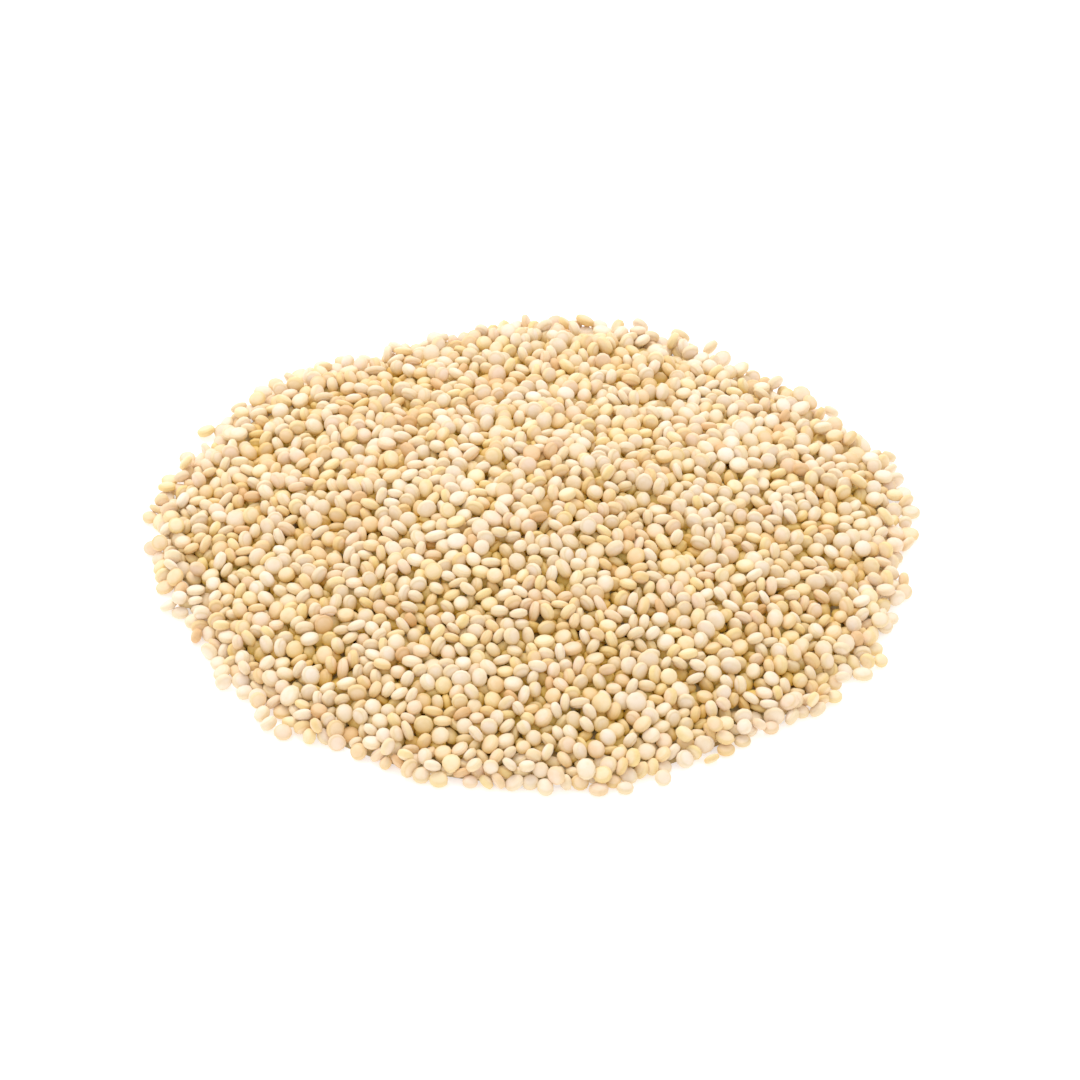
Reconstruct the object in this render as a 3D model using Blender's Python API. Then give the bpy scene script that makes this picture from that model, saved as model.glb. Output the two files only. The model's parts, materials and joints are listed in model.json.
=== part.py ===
"""A low, round heap of raw white quinoa, lying bare on a flat surface.

Metres, +Z up. The origin is the centre of the flat base, on the surface that the heap lies on.
The grains are too fine to be modelled one by one, so the heap is a bumpy mound, with a bump for
each grain-sized spot, and real grain shapes are fused on all along its rim.
"""

import math

import bmesh
import bpy
import numpy as np
from mathutils import Euler, Matrix, Vector
from mathutils.geometry import delaunay_2d_cdt

# Driving dimensions
HEAP_DIAMETER = 0.0916
HEAP_HEIGHT = 0.0110
GRAIN_DIAMETER = 0.00205
GRAIN_THICKNESS = 0.00125

# The mound's section: a cone with a rounded tip, on a rim a little over one grain high
TIP_ROUNDING = 0.25
RIM_HEIGHT = 1.15 * GRAIN_THICKNESS
RIM_INSET = 0.62 * GRAIN_DIAMETER

# The outline swings in and out a little: waves round the heap, share of the radius, turn in degrees
OUTLINE_WAVES = ((2, 0.014, 175.0), (3, 0.010, 40.0), (4, 0.013, 79.0), (5, 0.008, 18.0), (6, 0.007, 21.0),
                 (7, 0.012, 22.0), (9, 0.005, 12.0))

# Bumps on the mound: each is between LOWEST_BUMP and 1 times the bump height
BUMP_SPACING = 1.22 * GRAIN_DIAMETER
BUMP_HEIGHT = 0.8 * GRAIN_THICKNESS
LOWEST_BUMP = 0.35
BUMP_JITTER = 0.34

# Grains fused to the mound's rim: few sides, an upright edge and a tilt in radians
GRAIN_SIDES = 6
GRAIN_BANDS = 3
UPRIGHT_EDGE = 0.62 * GRAIN_THICKNESS
RIM_GRAIN_SPACING = 1.4 * GRAIN_DIAMETER
GRAIN_SIZES = (0.85, 1.15)
GRAIN_TILT = 0.4
FLOOR_GAP = 0.00005
SEED = 11

GRAIN_COLOUR = (0.80, 0.62, 0.36, 1.0)
GRAIN_ROUGHNESS = 0.55
NODE_NAME = "quinoa_heap"


def clear_scene():
    for obj in list(bpy.data.objects):
        bpy.data.objects.remove(obj, do_unlink=True)


def new_collection(name):
    collection = bpy.data.collections.new(name)
    bpy.context.scene.collection.children.link(collection)
    return collection


def quinoa_material():
    material = bpy.data.materials.new("raw_quinoa")
    material.use_nodes = True
    shader = material.node_tree.nodes["Principled BSDF"]
    shader.inputs["Base Color"].default_value = GRAIN_COLOUR
    shader.inputs["Roughness"].default_value = GRAIN_ROUGHNESS
    shader.inputs["Metallic"].default_value = 0.0
    return material


def outline_radius(angle):
    """The heap's outer radius at an angle round the Z axis."""
    swing = 1.0
    for waves, share, turn in OUTLINE_WAVES:
        swing += share * math.cos(waves * (angle - math.radians(turn)))
    return 0.5 * HEAP_DIAMETER * swing


def mound_radius(angle):
    """The mound's own radius, which stays inside the ring of fused rim grains."""
    return outline_radius(angle) - RIM_INSET


def mound_height(x, y):
    """The mound's height at a point, without its bumps."""
    reach = min(1.0, math.hypot(x, y) / mound_radius(math.atan2(y, x)))
    fall = math.hypot(reach, TIP_ROUNDING) - TIP_ROUNDING
    whole_fall = math.hypot(1.0, TIP_ROUNDING) - TIP_ROUNDING
    top = HEAP_HEIGHT - BUMP_HEIGHT
    return RIM_HEIGHT + (top - RIM_HEIGHT) * (1.0 - fall / whole_fall)


def lattice_points(random):
    """Points of a jittered triangular lattice inside the mound, as (x, y, is a bump's top).

    Every third point is a top, so each top has six lower points round it."""
    step = BUMP_SPACING / math.sqrt(3.0)
    reach = int(HEAP_DIAMETER / step)
    points = []
    for j in range(-reach, reach + 1):
        for i in range(-reach - j // 2, reach - j // 2 + 1):
            shift = random.uniform(-BUMP_JITTER, BUMP_JITTER, 2)
            x = step * (i + 0.5 * j + shift[0])
            y = step * (math.sqrt(0.75) * j + shift[1])
            if math.hypot(x, y) < mound_radius(math.atan2(y, x)) - 0.6 * step:
                points.append((x, y, (i - j) % 3 == 0))
    return points


def rim_points():
    """Points round the mound's edge, about as far apart as its bumps."""
    count = round(math.pi * HEAP_DIAMETER / BUMP_SPACING)
    angles = [2.0 * math.pi * k / count for k in range(count)]
    return [(mound_radius(a) * math.cos(a), mound_radius(a) * math.sin(a)) for a in angles]


def mound_mesh(random):
    """The bumpy mound as a closed mesh with a flat base."""
    rim = rim_points()
    inner = lattice_points(random)
    flat = [Vector(point) for point in rim] + [Vector((x, y)) for x, y, _ in inner]
    edges = [(k, (k + 1) % len(rim)) for k in range(len(rim))]
    inside_only = 1
    points, _, faces, origins, _, _ = delaunay_2d_cdt(flat, edges, [], inside_only, 1e-7)
    mesh = bmesh.new()
    for point, origin in zip(points, origins):
        height = mound_height(point.x, point.y)
        if origin[0] >= len(rim):
            is_top = inner[origin[0] - len(rim)][2]
            height += BUMP_HEIGHT * random.uniform(LOWEST_BUMP, 1.0) if is_top else 0.0
        mesh.verts.new((point.x, point.y, height))
    mesh.verts.ensure_lookup_table()
    for face in faces:
        mesh.faces.new([mesh.verts[k] for k in face])
    edge = [e for e in mesh.edges if e.is_boundary]
    wall = bmesh.ops.extrude_edge_only(mesh, edges=edge)["geom"]
    for vert in (item for item in wall if isinstance(item, bmesh.types.BMVert)):
        vert.co.z = 0.0
    bmesh.ops.holes_fill(mesh, edges=[e for e in mesh.edges if e.is_boundary], sides=0)
    bmesh.ops.recalc_face_normals(mesh, faces=mesh.faces)
    data = bpy.data.meshes.new(NODE_NAME)
    mesh.to_mesh(data)
    mesh.free()
    return data


def grain_mesh():
    """One grain with few sides: a thick disc with sloping faces and an upright edge."""
    mesh = bmesh.new()
    bmesh.ops.create_uvsphere(mesh, u_segments=GRAIN_SIDES, v_segments=GRAIN_BANDS, radius=0.5)
    upright_share = math.sin(math.pi / GRAIN_BANDS)
    level_share = math.cos(math.pi / GRAIN_BANDS)
    wide = GRAIN_DIAMETER / upright_share
    deep = UPRIGHT_EDGE / level_share
    bmesh.ops.scale(mesh, vec=(wide, wide, deep), verts=mesh.verts)
    for vert in mesh.verts:
        vert.co.z = max(-0.5 * GRAIN_THICKNESS, min(0.5 * GRAIN_THICKNESS, vert.co.z))
    data = bpy.data.meshes.new("grain")
    mesh.to_mesh(data)
    mesh.free()
    return data


def lowest_reach(data, turn):
    """How far a turned grain reaches below its own centre."""
    return -min((turn @ vert.co).z for vert in data.vertices)


def add_rim_grains(collection, data, random):
    """A ring of grains lying on the floor, partly sunk in the mound's edge."""
    count = round(math.pi * HEAP_DIAMETER / RIM_GRAIN_SPACING)
    for k in range(count):
        angle = 2.0 * math.pi * (k + random.uniform(-0.3, 0.3)) / count
        size = random.uniform(*GRAIN_SIZES)
        tilt = random.normal(0.0, GRAIN_TILT, 2)
        turn = Euler((tilt[0], tilt[1], angle)).to_quaternion()
        reach = outline_radius(angle) - (0.5 + random.uniform(0.0, 0.35)) * GRAIN_DIAMETER * size
        height = size * lowest_reach(data, turn) + FLOOR_GAP
        grain = bpy.data.objects.new(f"rim_grain_{k:03d}", data)
        place = Vector((reach * math.cos(angle), reach * math.sin(angle), height))
        grain.matrix_world = Matrix.LocRotScale(place, turn, Vector((size, size, size)))
        collection.objects.link(grain)


def fuse(mound, collection):
    """Joins the collection's grains to the mound and removes their objects."""
    union = mound.modifiers.new("fused grains", "BOOLEAN")
    union.operation = "UNION"
    union.operand_type = "COLLECTION"
    union.collection = collection
    union.solver = "EXACT"
    graph = bpy.context.evaluated_depsgraph_get()
    fused = bpy.data.meshes.new_from_object(mound.evaluated_get(graph))
    mound.modifiers.clear()
    mound.data = fused
    for grain in list(collection.objects):
        bpy.data.objects.remove(grain, do_unlink=True)
    bpy.data.collections.remove(collection)


def keep_largest_body(data):
    """Drops any loose scrap that the union has left beside the heap."""
    mesh = bmesh.new()
    mesh.from_mesh(data)
    unseen = set(mesh.verts)
    bodies = []
    while unseen:
        body, edge = set(), [unseen.pop()]
        while edge:
            vert = edge.pop()
            body.add(vert)
            near = {e.other_vert(vert) for e in vert.link_edges} & unseen
            unseen -= near
            edge.extend(near)
        bodies.append(body)
    bodies.sort(key=len)
    for body in bodies[:-1]:
        bmesh.ops.delete(mesh, geom=list(body), context="VERTS")
    mesh.to_mesh(data)
    mesh.free()


def centre_on_origin(data):
    """Moves the heap in plan so that the middle of its box is on the Z axis."""
    corners = np.array([vert.co for vert in data.vertices])
    middle = 0.5 * (corners.min(axis=0) + corners.max(axis=0))
    data.transform(Matrix.Translation((-middle[0], -middle[1], 0.0)))


def main():
    clear_scene()
    random = np.random.default_rng(SEED)
    heap = bpy.data.objects.new(NODE_NAME, mound_mesh(random))
    new_collection(NODE_NAME).objects.link(heap)
    grains = new_collection("grains_to_fuse")
    add_rim_grains(grains, grain_mesh(), random)
    fuse(heap, grains)
    keep_largest_body(heap.data)
    centre_on_origin(heap.data)
    heap.data.materials.clear()
    heap.data.materials.append(quinoa_material())


main()
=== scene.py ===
"""Raw white quinoa in a low, round heap.

Some thousands of grains fall on a core and settle in a rigid body simulation. Each settled grain
then gets its real shape: a plump lens with a faint groove round each face, a flat belt round its
edge and, on some, a small beak.
"""

import json
import math

import bmesh
import bpy
import numpy as np
from mathutils import Matrix, Quaternion, Vector

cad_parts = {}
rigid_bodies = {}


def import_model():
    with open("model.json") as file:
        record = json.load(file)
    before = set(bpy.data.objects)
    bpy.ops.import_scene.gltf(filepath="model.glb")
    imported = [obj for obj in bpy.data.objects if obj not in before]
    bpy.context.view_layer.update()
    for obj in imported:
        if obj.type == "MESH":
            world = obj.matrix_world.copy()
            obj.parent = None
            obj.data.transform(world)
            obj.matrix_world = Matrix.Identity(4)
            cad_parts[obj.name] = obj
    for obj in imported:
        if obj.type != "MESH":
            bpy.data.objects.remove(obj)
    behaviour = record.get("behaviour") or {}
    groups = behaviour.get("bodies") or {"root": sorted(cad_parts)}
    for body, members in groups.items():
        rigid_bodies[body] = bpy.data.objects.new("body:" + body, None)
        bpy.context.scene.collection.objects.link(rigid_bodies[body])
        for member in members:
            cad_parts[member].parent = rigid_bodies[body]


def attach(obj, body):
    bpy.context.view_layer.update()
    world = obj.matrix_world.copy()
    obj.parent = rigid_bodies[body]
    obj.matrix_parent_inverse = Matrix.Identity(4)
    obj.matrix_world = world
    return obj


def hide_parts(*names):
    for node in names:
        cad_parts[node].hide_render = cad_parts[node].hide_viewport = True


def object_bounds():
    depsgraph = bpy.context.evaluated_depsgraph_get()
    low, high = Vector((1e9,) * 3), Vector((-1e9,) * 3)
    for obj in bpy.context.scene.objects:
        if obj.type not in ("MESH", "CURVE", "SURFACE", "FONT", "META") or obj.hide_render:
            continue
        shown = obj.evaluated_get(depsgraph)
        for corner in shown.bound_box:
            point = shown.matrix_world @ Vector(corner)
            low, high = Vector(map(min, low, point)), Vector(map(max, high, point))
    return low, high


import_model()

MM = 0.001
NODE = "quinoa_heap"
cad_low, cad_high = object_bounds()

# The heap, in millimetres, as the simulation works
HEAP_RADIUS = 45.8
HEAP_HEIGHT = (cad_high[2] - cad_low[2]) / MM
TIP_ROUNDING = 0.25
OUTLINE_WAVES = ((2, 0.014, 175.0), (3, 0.010, 40.0), (4, 0.013, 79.0), (5, 0.008, 18.0), (6, 0.007, 21.0),
                 (7, 0.012, 22.0), (9, 0.005, 12.0))

# A grain, in millimetres, and the spread of its sizes as shares
GRAIN_DIAMETER = 2.05
GRAIN_THICKNESS = 1.22
SIZE_SPREAD = 0.085
OVAL_SPREAD = 0.05
THICKNESS_SPREAD = 0.10

# Half a grain's section from its middle to its edge, as shares of its radius and half thickness
GRAIN_SECTION = ((0.0, 1.0), (0.40, 0.93), (0.66, 0.79), (0.84, 0.62), (0.93, 0.51), (1.0, 0.28))
GRAIN_SIDES = 12
GROOVE_RING = 3
HULL_SECTION = ((0.0, 1.0), (0.60, 0.92), (1.0, 0.36))
HULL_SIDES = 8

# How far single grains differ in shape: the most that each may be, as a share
BEAK = 0.13
BEAK_SHARPNESS = 8
WEDGE = 0.10
FLATTER_FACE = 0.10
GROOVE_DEPTH = 0.09

# How the grains are laid out before they fall, in millimetres
LAYERS = 2
LAYER_DEPTH = 1.75
LAYER_RISE = 2.1
LAYER_INSET = 2.2
FIRST_RISE = 1.3
FIRST_INSET = 1.2
GRAIN_SPACING = 1.93
GRAIN_SHIFT = 0.3
SEED = 5

# The core under the grains and the floor round it, in millimetres, and how finely they are divided
CORE_INSET = 2.5
CORE_DROP = 0.1
CORE_EDGE = 0.04
CORE_BASE = 0.01
CORE_SIDES = 96
CORE_CUTS = 4
FLOOR_MARGIN = 12.0
FLOOR_CELLS = 64

# The simulation
SETTLE_FRAMES = 40
SUBSTEPS = 4
SOLVER_STEPS = 8
GRAIN_FRICTION = 0.8
GROUND_FRICTION = 1.0
LINEAR_DAMPING = 0.15
ANGULAR_DAMPING = 0.4

# How far a grain may reach past the outline and above the heap's height, in millimetres
FARTHEST_STRAY = 1.6
HIGHEST_STRAY = 0.2

# Kinds of grain: name, share of the grains, face colour, belt colour
KINDS = (
    ("cream", 0.20, (0.88, 0.705, 0.51), (0.81, 0.605, 0.305)),
    ("ivory", 0.18, (0.88, 0.72, 0.55), (0.82, 0.63, 0.365)),
    ("pale", 0.16, (0.88, 0.725, 0.57), (0.83, 0.65, 0.375)),
    ("tan", 0.18, (0.86, 0.61, 0.35), (0.78, 0.515, 0.185)),
    ("rosy", 0.10, (0.88, 0.65, 0.47), (0.80, 0.55, 0.285)),
    ("golden", 0.155, (0.89, 0.685, 0.39), (0.82, 0.585, 0.205)),
    ("rusty", 0.025, (0.76, 0.47, 0.23), (0.66, 0.35, 0.13)),
)

# How the belt's colour comes in from a grain's middle, 0, to its edge, 1, and the faintest belt's share
BELT_REACH = (0.60, 0.84, 0.93, 1.0)
BELT_STRENGTH = (0.0, 0.35, 0.9, 1.0)
FAINTEST_BELT = 0.45

# What multiplies a grain's colour in its groove, on a darker grain, in a mottled spot, and, as painted
# shade, deep down in the heap
GROOVE_SHADE = (0.88, 0.82, 0.62)
DARK_SHADE = (0.94, 0.88, 0.77)
SPOT_SHADE = (0.94, 0.89, 0.75)
DEPTH_SHADE = (0.82, 0.66, 0.16)

# The shade deep down: the depth at which it is full, in millimetres, and the share of it where it starts.
# It comes in between two distances inside the outline, as the rim's grains lie open to the light.
DEEP = 2.4
SHADE_START = 0.2
OPEN_RIM = (1.0, 6.0)

# Depth is measured from a surface of cells this wide that reaches this far past the heap, in millimetres
SURFACE_CELL = 2.0
SURFACE_MARGIN = 6.0
HIGHEST_NEIGHBOURS = 4

# A grain's surface: noise for its mottling, from where to where it shows, and noise for its small dents
MOTTLING = {"Scale": 900.0, "Detail": 2.0}
MOTTLING_RANGE = (0.45, 0.75)
DENTS = {"Scale": 2600.0, "Detail": 3.0, "Roughness": 0.6}
DENT_BUMP = {"Strength": 0.5, "Distance": 0.0001}
GRAIN_ROUGHNESS = 0.5
GRAIN_SPECULAR = 0.15

# The core's surface: two browns of painted shade for the grains deep in the heap, with dents between its
# cells
CORE_SHADE_BROWNS = ((0.30, 0.19, 0.05), (0.52, 0.36, 0.13))
CORE_BUMP = {"Strength": 0.8, "Distance": -0.0004}
CORE_ROUGHNESS = 0.6

# The margin round each grain on the map, as a share of the grain's tile
MAP_MARGIN = 0.04

# The sockets of a mix node that mixes colours
MIX_FACTOR, MIX_FIRST, MIX_SECOND, MIX_RESULT = 0, 6, 7, 2

# The camera, in metres and degrees, with its sensor in millimetres and the photograph in pixels
FRAME_WIDTH = 0.1317
CAMERA_ELEVATION = 38.7
CAMERA_DISTANCE = 1.0
CAMERA_REACH = 10.0
SENSOR_WIDTH = 36.0
PHOTO_SIZE = 1080
PHOTO_CENTRE = (528, 553)

# The white surface and the light from all round, in metres
FLOOR_REACH = 3.0
FLOOR_COLOUR = (0.95, 0.95, 0.95, 1.0)
FLOOR_ROUGHNESS = 0.6
FLOOR_GLOW = 0.40
SKY_COLOUR = (1.0, 1.0, 1.0, 1.0)
SKY_STRENGTH = 0.955

# Lights: name, place, size and power, all of one warm colour
LIGHTS = (
    ("key_light", (-0.24, 0.44, 0.77), 0.6, 6.7),
    ("back_light", (0.10, 0.90, 0.38), 0.8, 2.1),
)
LIGHT_COLOUR = (1.0, 0.905, 0.88)
GAMMA = 1.52


def outline_radius(angle):
    """The heap's outer radius at an angle round the Z axis, in millimetres."""
    swing = 1.0
    for waves, share, turn in OUTLINE_WAVES:
        swing += share * math.cos(waves * (angle - math.radians(turn)))
    return HEAP_RADIUS * swing


def outline_middle():
    """The middle of the outline's box, in millimetres, which belongs on the Z axis."""
    angles = np.radians(np.arange(0.0, 360.0, 1.0))
    reach = np.array([outline_radius(angle) for angle in angles])
    across, along = reach * np.cos(angles), reach * np.sin(angles)
    return 0.5 * np.array([across.min() + across.max(), along.min() + along.max()])


def core_height(x, y):
    """The core's height under the grains, in millimetres."""
    edge = outline_radius(math.atan2(y, x)) - CORE_INSET
    reach = min(1.0, math.hypot(x, y) / edge)
    fall = math.hypot(reach, TIP_ROUNDING) - TIP_ROUNDING
    whole_fall = math.hypot(1.0, TIP_ROUNDING) - TIP_ROUNDING
    return (HEAP_HEIGHT - LAYERS * LAYER_DEPTH) * (1.0 - fall / whole_fall)


def new_object(name, data):
    obj = bpy.data.objects.new(name, data)
    bpy.context.scene.collection.objects.link(obj)
    return obj


def mesh_from(build, name):
    """A mesh made by the function build, which fills a bmesh."""
    shape = bmesh.new()
    build(shape)
    data = bpy.data.meshes.new(name)
    shape.to_mesh(data)
    shape.free()
    return data


class TurnedShape:
    """A closed solid of revolution from half a section, for a grain of diameter 1 and thickness 1."""

    def __init__(self, section, sides):
        rings = [(*point, 1.0) for point in section]
        rings += [(*point, -1.0) for point in reversed(section)]
        self.corners, self.ring, members = [], [], []
        for ring, (radius, height, side) in enumerate(rings):
            count = sides if radius else 1
            members.append([len(self.corners) + k for k in range(count)])
            for k in range(count):
                angle = 2.0 * math.pi * k / sides
                reach = 0.5 * radius
                place = (reach * math.cos(angle), reach * math.sin(angle), 0.5 * side * height)
                self.corners.append(place)
                self.ring.append(min(ring, len(rings) - 1 - ring))
        self.faces, self.map = [], []
        bands = len(rings) - 1
        for ring in range(bands):
            upper, lower = members[ring], members[ring + 1]
            for k in range(sides):
                self.add_face(upper, lower, k, ring / bands, 1.0 / bands, sides)
        self.corners = np.array(self.corners)
        self.ring = np.array(self.ring)

    def add_face(self, upper, lower, k, start, depth, sides):
        """One face between two rings, and its corners on the map, where a grain is unrolled."""
        after = (k + 1) % sides
        left, right, middle = k / sides, (k + 1) / sides, (k + 0.5) / sides
        if len(upper) == 1:
            self.faces.append((upper[0], lower[k], lower[after]))
            self.map += [(middle, start), (left, start + depth), (right, start + depth)]
        elif len(lower) == 1:
            self.faces.append((upper[k], lower[0], upper[after]))
            self.map += [(left, start), (middle, start + depth), (right, start)]
        else:
            self.faces.append((upper[k], lower[k], lower[after], upper[after]))
            self.map += [(left, start), (left, start + depth), (right, start + depth), (right, start)]

    def mesh(self, name):
        data = bpy.data.meshes.new(name)
        data.from_pydata(self.corners.tolist(), [], self.faces)
        return data


def starting_places(random):
    """Where the grains' middles start, layer over layer on the core, in millimetres."""
    places = []
    row_step = GRAIN_SPACING * math.sqrt(0.75)
    reach = int(HEAP_RADIUS / row_step) + 2
    for layer in range(LAYERS):
        for row in range(-reach, reach + 1):
            for column in range(-reach, reach + 1):
                shift = random.uniform(-GRAIN_SHIFT, GRAIN_SHIFT, 2)
                x = GRAIN_SPACING * (column + 0.5 * (row % 2)) + shift[0]
                y = row_step * row + shift[1]
                limit = outline_radius(math.atan2(y, x)) - FIRST_INSET - LAYER_INSET * layer
                if math.hypot(x, y) < limit:
                    places.append((x, y, core_height(x, y) + FIRST_RISE + LAYER_RISE * layer))
    return places


def random_turn(random):
    """A turn in which no way is likelier than another."""
    return Quaternion(random.normal(0.0, 1.0, 4)).normalized()


def floor_and_core():
    """The surface that the grains fall on: the core, and the floor round it."""
    def build(shape):
        reach = HEAP_RADIUS + FLOOR_MARGIN
        bmesh.ops.create_grid(shape, x_segments=FLOOR_CELLS, y_segments=FLOOR_CELLS, size=reach)
        for vert in shape.verts:
            vert.co.z = core_height(vert.co.x, vert.co.y)
    return new_object("floor_and_core", mesh_from(build, "floor_and_core"))


def select_only(objects):
    bpy.ops.object.select_all(action="DESELECT")
    for obj in objects:
        obj.select_set(True)
    bpy.context.view_layer.objects.active = objects[0]


def falling_grains(random):
    """The grains before they fall, in millimetres, each with its own size and turn."""
    hull = TurnedShape(HULL_SECTION, HULL_SIDES).mesh("hull")
    grains = []
    for place in starting_places(random):
        size = GRAIN_DIAMETER * random.normal(1.0, SIZE_SPREAD)
        oval = random.normal(1.0, OVAL_SPREAD)
        thick = GRAIN_THICKNESS * random.normal(1.0, THICKNESS_SPREAD)
        grain = new_object("falling_grain", hull)
        scale = Vector((size * oval, size / oval, thick))
        grain.matrix_world = Matrix.LocRotScale(Vector(place), random_turn(random), scale)
        grains.append(grain)
    return grains


def settled_grains(random):
    """Each grain's 4x4 matrix after it has fallen, in millimetres."""
    scene = bpy.context.scene
    grains = falling_grains(random)
    ground = floor_and_core()
    bpy.ops.rigidbody.world_add()
    world = scene.rigidbody_world
    world.collection = bpy.data.collections.new("bodies")
    world.substeps_per_frame = SUBSTEPS
    world.solver_iterations = SOLVER_STEPS
    world.point_cache.frame_end = SETTLE_FRAMES
    select_only(grains)
    bpy.ops.rigidbody.objects_add(type="ACTIVE")
    for grain in grains:
        body = grain.rigid_body
        body.collision_shape = "CONVEX_HULL"
        body.friction = GRAIN_FRICTION
        body.linear_damping = LINEAR_DAMPING
        body.angular_damping = ANGULAR_DAMPING
        body.use_margin = True
        body.collision_margin = 0.0
    select_only([ground])
    bpy.ops.rigidbody.objects_add(type="PASSIVE")
    ground.rigid_body.collision_shape = "MESH"
    ground.rigid_body.friction = GROUND_FRICTION
    for step in range(1, SETTLE_FRAMES + 1):
        scene.frame_set(step)
    graph = bpy.context.evaluated_depsgraph_get()
    matrices = np.array([grain.evaluated_get(graph).matrix_world for grain in grains])
    bpy.ops.rigidbody.world_remove()
    bpy.data.batch_remove(grains + [ground])
    scene.frame_set(1)
    return matrices


def inside_outline(matrices):
    """How far each grain's middle is inside the heap's outline, in millimetres."""
    x, y = matrices[:, :2, 3].T
    limits = np.array([outline_radius(angle) for angle in np.arctan2(y, x)])
    return limits - np.hypot(x, y)


def grain_tops(matrices):
    """How high each grain reaches, in millimetres."""
    return matrices[:, 2, 3] + 0.5 * np.linalg.norm(matrices[:, 2, :3], axis=1)


def without_strays(matrices):
    """The grains without the few that have rolled too far off or stand too far up."""
    near = inside_outline(matrices) > 0.5 * GRAIN_DIAMETER - FARTHEST_STRAY
    low = grain_tops(matrices) < HEAP_HEIGHT + HIGHEST_STRAY
    return matrices[near & low]


def surface_grid(matrices):
    """A function that reads the height of the heap's top surface at points, in millimetres.

    A cell has the mean of the highest grains in it and in the cells round it."""
    half = HEAP_RADIUS + SURFACE_MARGIN
    cells = int(2.0 * half / SURFACE_CELL)
    spot = ((matrices[:, :2, 3] + half) / SURFACE_CELL).astype(int)
    grid = np.zeros((cells, cells))
    np.maximum.at(grid, (spot[:, 0], spot[:, 1]), grain_tops(matrices))
    padded = np.pad(grid, 1, mode="edge")
    shifts = [padded[i : i + cells, j : j + cells] for i in range(3) for j in range(3)]
    grid = np.sort(shifts, axis=0)[-HIGHEST_NEIGHBOURS:].mean(axis=0)

    def read(x, y):
        at = np.stack([x, y]) / SURFACE_CELL + half / SURFACE_CELL - 0.5
        low = np.clip(at.astype(int), 0, cells - 2)
        share = np.clip(at - low, 0.0, 1.0)
        (i, j), (u, v) = low, share
        near = grid[i, j] * (1.0 - u) + grid[i + 1, j] * u
        far = grid[i, j + 1] * (1.0 - u) + grid[i + 1, j + 1] * u
        return near * (1.0 - v) + far * v

    return read


def own_shapes(shape, grooves, random):
    """Each grain's corners, made a little different from the shape: beak, wedge, faces and groove.

    A corner has a fourth number, 1, so that a 4x4 matrix can move it."""
    count = len(grooves)
    x, y, z = shape.corners.T
    reach = np.hypot(x, y)
    toward_beak = np.maximum(0.0, x / np.maximum(reach, 1e-6)) ** BEAK_SHARPNESS * (2.0 * reach) ** 2
    beaks = BEAK * random.uniform(0.0, 1.0, (count, 1)) ** 2
    wedges = random.uniform(-WEDGE, WEDGE, (count, 1))
    flatter = random.uniform(-FLATTER_FACE, FLATTER_FACE, (count, 1))
    sunk = GROOVE_DEPTH * grooves * (shape.ring == GROOVE_RING)
    wide = 1.0 + beaks * toward_beak
    thick = (1.0 + 2.0 * x * wedges) * (1.0 + np.sign(z) * flatter) * (1.0 - sunk)
    return np.stack([x * wide, y * wide, z * thick, np.ones((count, len(x)))], axis=2)


def map_tiles(shape, count):
    """Each grain's own tile of the map, with a margin round it."""
    per_side = math.ceil(math.sqrt(count))
    tile = np.array([divmod(k, per_side) for k in range(count)])
    inside = MAP_MARGIN + (1.0 - 2.0 * MAP_MARGIN) * np.array(shape.map)
    return (tile[:, None, :] + inside[None]) / per_side


def set_values(data, label, values):
    """Gives each corner of a mesh a number under a label, which its material reads."""
    layer = data.attributes.new(label, "FLOAT", "POINT")
    layer.data.foreach_set("value", np.ascontiguousarray(values, dtype=np.float32).ravel())


def ride_and_replace(obj):
    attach(obj, "root")
    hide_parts(NODE)


def placed_corners(matrices, corners):
    """Each grain's corners moved by its matrix, and up where they would be under the floor."""
    places = np.einsum("gij,gvj->gvi", matrices, corners)[:, :, :3]
    places[:, :, 2] += np.maximum(0.0, -places[:, :, 2].min(axis=1))[:, None]
    return places


def grains_mesh(name, shape, places):
    """One mesh of grains that all have a shape's faces, each with its corners at its own places."""
    count = len(places)
    around = np.array([corner for face in shape.faces for corner in face])
    sizes = [len(face) for face in shape.faces]
    corner_index = (around[None] + np.arange(count)[:, None] * len(shape.corners)).ravel()
    data = bpy.data.meshes.new(name)
    data.vertices.add(count * len(shape.corners))
    data.vertices.foreach_set("co", (places * MM).ravel())
    data.loops.add(len(corner_index))
    data.loops.foreach_set("vertex_index", corner_index)
    data.polygons.add(count * len(sizes))
    data.polygons.foreach_set("loop_start", np.cumsum([0] + sizes * count)[:-1])
    data.uv_layers.new(name="OFBake").uv.foreach_set("vector", map_tiles(shape, count).ravel())
    data.update(calc_edges=True)
    data.validate()
    data.shade_smooth()
    return data


def joined_grains(name, shape, matrices, surface, shelter, random):
    """One object that holds a grain at each matrix. Shelter is 0 for a grain at the rim and 1 inside."""
    count = len(matrices)
    grooves = random.uniform(0.0, 1.0, (count, 1))
    places = placed_corners(matrices, own_shapes(shape, grooves, random))
    belts = random.uniform(FAINTEST_BELT, 1.0, (count, 1))
    tints = random.uniform(0.0, 1.0, (count, 1))
    reach = 2.0 * np.hypot(*shape.corners[:, :2].T)
    x, y, z = np.moveaxis(places, 2, 0)
    depth = np.clip((surface(x, y) - z) / DEEP, 0.0, 1.0)
    data = grains_mesh(name, shape, places)
    set_values(data, "belt", belts * np.interp(reach, BELT_REACH, BELT_STRENGTH))
    set_values(data, "groove", grooves * (shape.ring == GROOVE_RING))
    set_values(data, "tint", tints * np.ones(len(shape.corners)))
    # How much painted shade each corner gets: its depth under the heap's surface, faded out towards the
    # open rim
    set_values(data, "depth", depth * shelter[:, None])
    grains = new_object(name, data)
    ride_and_replace(grains)
    return grains


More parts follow.
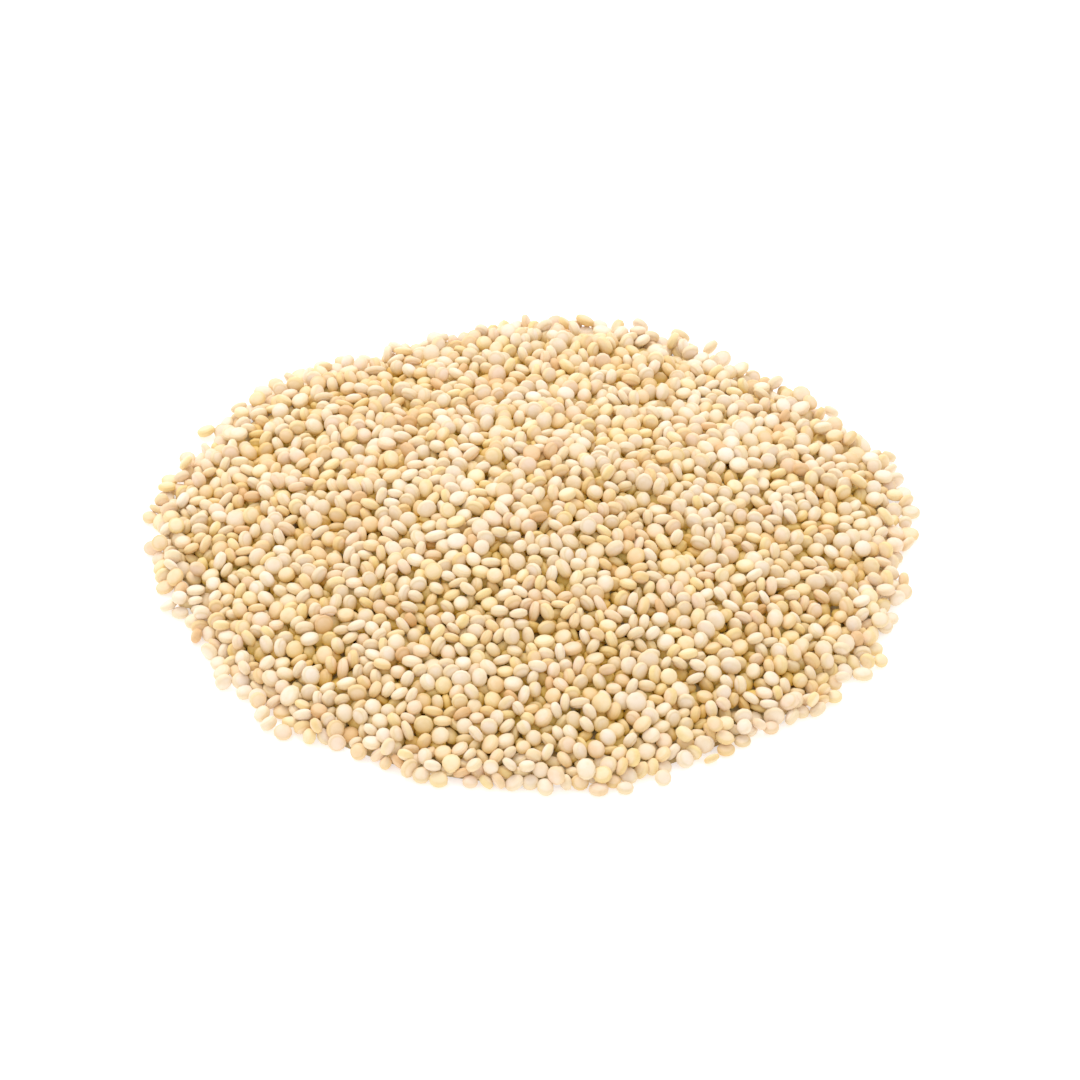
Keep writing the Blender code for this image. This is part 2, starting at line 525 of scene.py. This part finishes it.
def core_piece(material):
    """The closed core under the grains, a little lower than the surface that they fell on."""
    def build(shape):
        bmesh.ops.create_circle(shape, cap_ends=True, radius=1.0, segments=CORE_SIDES)
        bmesh.ops.poke(shape, faces=shape.faces)
        for _ in range(CORE_CUTS):
            bmesh.ops.subdivide_edges(shape, edges=shape.edges, cuts=1, use_grid_fill=True)
        for vert in shape.verts:
            edge = outline_radius(math.atan2(vert.co.y, vert.co.x)) - CORE_INSET
            vert.co.xy = vert.co.xy * edge
            vert.co.z = max(CORE_EDGE, core_height(vert.co.x, vert.co.y) - CORE_DROP)
        bmesh.ops.translate(shape, vec=(*-outline_middle(), 0.0), verts=shape.verts)
        rim = [edge for edge in shape.edges if edge.is_boundary]
        wall = bmesh.ops.extrude_edge_only(shape, edges=rim)["geom"]
        for vert in (item for item in wall if isinstance(item, bmesh.types.BMVert)):
            vert.co.z = CORE_BASE
        bmesh.ops.holes_fill(shape, edges=[e for e in shape.edges if e.is_boundary], sides=0)
        bmesh.ops.recalc_face_normals(shape, faces=shape.faces)
        bmesh.ops.scale(shape, vec=(MM, MM, MM), verts=shape.verts)
    data = mesh_from(build, "quinoa_core")
    data.materials.append(material)
    data.shade_smooth()
    ride_and_replace(new_object("quinoa_core", data))


def set_input(material, node, socket, value):
    """Gives a socket, by its name or number, a value, or links it to an output."""
    if isinstance(value, bpy.types.NodeSocket):
        material.node_tree.links.new(value, node.inputs[socket])
    else:
        node.inputs[socket].default_value = value


def new_node(material, kind, **values):
    """A shader node with these values or outputs on its sockets."""
    node = material.node_tree.nodes.new(kind)
    for name, value in values.items():
        set_input(material, node, name.replace("_", " "), value)
    return node


def new_material(name):
    material = bpy.data.materials.new(name)
    material.use_nodes = True
    return material, material.node_tree.nodes["Principled BSDF"]


def read_attribute(material, name):
    node = new_node(material, "ShaderNodeAttribute")
    node.attribute_name = name
    return node.outputs["Fac"]


def mixed(material, factor, first, second, blend="MIX"):
    """A mix of two colours, each a value or an output."""
    node = material.node_tree.nodes.new("ShaderNodeMix")
    node.data_type = "RGBA"
    node.blend_type = blend
    set_input(material, node, MIX_FACTOR, factor)
    for socket, colour in ((MIX_FIRST, first), (MIX_SECOND, second)):
        is_output = isinstance(colour, bpy.types.NodeSocket)
        set_input(material, node, socket, colour if is_output else (*colour, 1.0))
    return node.outputs[MIX_RESULT]


def shaded(material, factor, colour, shade):
    """The colour multiplied by a shade where the factor is 1."""
    return mixed(material, factor, colour, shade, "MULTIPLY")


def between(material, value, low, high):
    """How far a value is from low to high, from 0 to 1."""
    return new_node(material, "ShaderNodeMapRange", Value=value, From_Min=low, From_Max=high).outputs[0]


def grain_material(name, face, belt):
    """Raw quinoa: a paler face, a faint darker groove and a golden belt, with a little mottling and
    painted shade on grains deep in the heap.
    """
    material, shader = new_material(name)
    where = new_node(material, "ShaderNodeTexCoord").outputs["Object"]
    mottling = new_node(material, "ShaderNodeTexNoise", Vector=where, **MOTTLING)
    dents = new_node(material, "ShaderNodeTexNoise", Vector=where, **DENTS)
    bump = new_node(material, "ShaderNodeBump", Height=dents.outputs["Fac"], **DENT_BUMP)
    spots = between(material, mottling.outputs["Fac"], *MOTTLING_RANGE)
    depth = between(material, read_attribute(material, "depth"), SHADE_START, 1.0)
    colour = mixed(material, read_attribute(material, "belt"), face, belt)
    colour = shaded(material, read_attribute(material, "groove"), colour, GROOVE_SHADE)
    colour = shaded(material, read_attribute(material, "tint"), colour, DARK_SHADE)
    colour = shaded(material, spots, colour, SPOT_SHADE)
    # Painted shade: grains deep under the heap's surface are darker and warmer, standing in for the light
    # that fades between them
    colour = shaded(material, depth, colour, DEPTH_SHADE)
    set_input(material, shader, "Base Color", colour)
    set_input(material, shader, "Roughness", GRAIN_ROUGHNESS)
    set_input(material, shader, "Specular IOR Level", GRAIN_SPECULAR)
    set_input(material, shader, "Normal", bump.outputs["Normal"])
    return material


def core_material():
    """Painted shade: grains far down in the heap's shade, as cells of two dark browns with dents between
    them.
    """
    material, shader = new_material("shaded_quinoa")
    where = new_node(material, "ShaderNodeTexCoord").outputs["Object"]
    cells = new_node(material, "ShaderNodeTexVoronoi", Vector=where, Scale=1.0 / (GRAIN_DIAMETER * MM))
    bump = new_node(material, "ShaderNodeBump", Height=cells.outputs["Distance"], **CORE_BUMP)
    set_input(material, shader, "Base Color", mixed(material, cells.outputs["Color"], *CORE_SHADE_BROWNS))
    set_input(material, shader, "Roughness", CORE_ROUGHNESS)
    set_input(material, shader, "Normal", bump.outputs["Normal"])
    return material


def add_heap():
    """All the grains, one piece for each kind, and the core under them."""
    random = np.random.default_rng(SEED)
    matrices = without_strays(settled_grains(random))
    shelter = np.interp(inside_outline(matrices), OPEN_RIM, (0.0, 1.0))
    matrices[:, :2, 3] -= outline_middle()
    shape = TurnedShape(GRAIN_SECTION, GRAIN_SIDES)
    kinds = random.choice(len(KINDS), len(matrices), p=[kind[1] for kind in KINDS])
    surface = surface_grid(matrices)
    for k, (name, _, face, belt) in enumerate(KINDS):
        own = kinds == k
        piece = joined_grains(f"quinoa_{name}", shape, matrices[own], surface, shelter[own], random)
        piece.data.materials.append(grain_material(f"{name}_quinoa", face, belt))
    core_piece(core_material())


def add_camera():
    """The photograph's camera, moved aside so that the heap lies where it does in the photograph."""
    data = bpy.data.cameras.new("camera")
    data.sensor_width = SENSOR_WIDTH
    data.lens = data.sensor_width * CAMERA_DISTANCE / FRAME_WIDTH
    data.clip_end = CAMERA_REACH
    camera = new_object("camera", data)
    tilt = math.radians(CAMERA_ELEVATION)
    camera.rotation_euler = (0.5 * math.pi - tilt, 0.0, 0.0)
    back = Vector((0.0, -math.cos(tilt), math.sin(tilt)))
    up = Vector((0.0, math.sin(tilt), math.cos(tilt)))
    pixel = FRAME_WIDTH / PHOTO_SIZE
    aside = (0.5 * PHOTO_SIZE - PHOTO_CENTRE[0]) * pixel
    above = (PHOTO_CENTRE[1] - 0.5 * PHOTO_SIZE) * pixel
    camera.location = back * CAMERA_DISTANCE + Vector((aside, 0.0, 0.0)) + up * above
    bpy.context.scene.camera = camera


def add_floor():
    """The white surface, which isn't part of the heap."""
    def build(shape):
        bmesh.ops.create_grid(shape, x_segments=1, y_segments=1, size=FLOOR_REACH)
    floor = new_object("floor", mesh_from(build, "floor"))
    material, shader = new_material("white_surface")
    shader.inputs["Base Color"].default_value = FLOOR_COLOUR
    shader.inputs["Roughness"].default_value = FLOOR_ROUGHNESS
    shader.inputs["Emission Color"].default_value = FLOOR_COLOUR
    shader.inputs["Emission Strength"].default_value = FLOOR_GLOW
    floor.data.materials.append(material)


def add_lights():
    """Even white light from all round, and two large soft lights behind the heap."""
    world = bpy.data.worlds.new("soft_light")
    world.use_nodes = True
    background = world.node_tree.nodes["Background"]
    background.inputs["Color"].default_value = SKY_COLOUR
    background.inputs["Strength"].default_value = SKY_STRENGTH
    bpy.context.scene.world = world
    for name, place, size, power in LIGHTS:
        data = bpy.data.lights.new(name, "AREA")
        data.size = size
        data.energy = power
        data.color = LIGHT_COLOUR
        light = new_object(name, data)
        light.location = place
        light.rotation_euler = (-Vector(place)).to_track_quat("-Z", "Y").to_euler()


def set_tone():
    view = bpy.context.scene.view_settings
    view.view_transform = "Standard"
    view.gamma = GAMMA


add_heap()
add_floor()
add_lights()
add_camera()
set_tone()
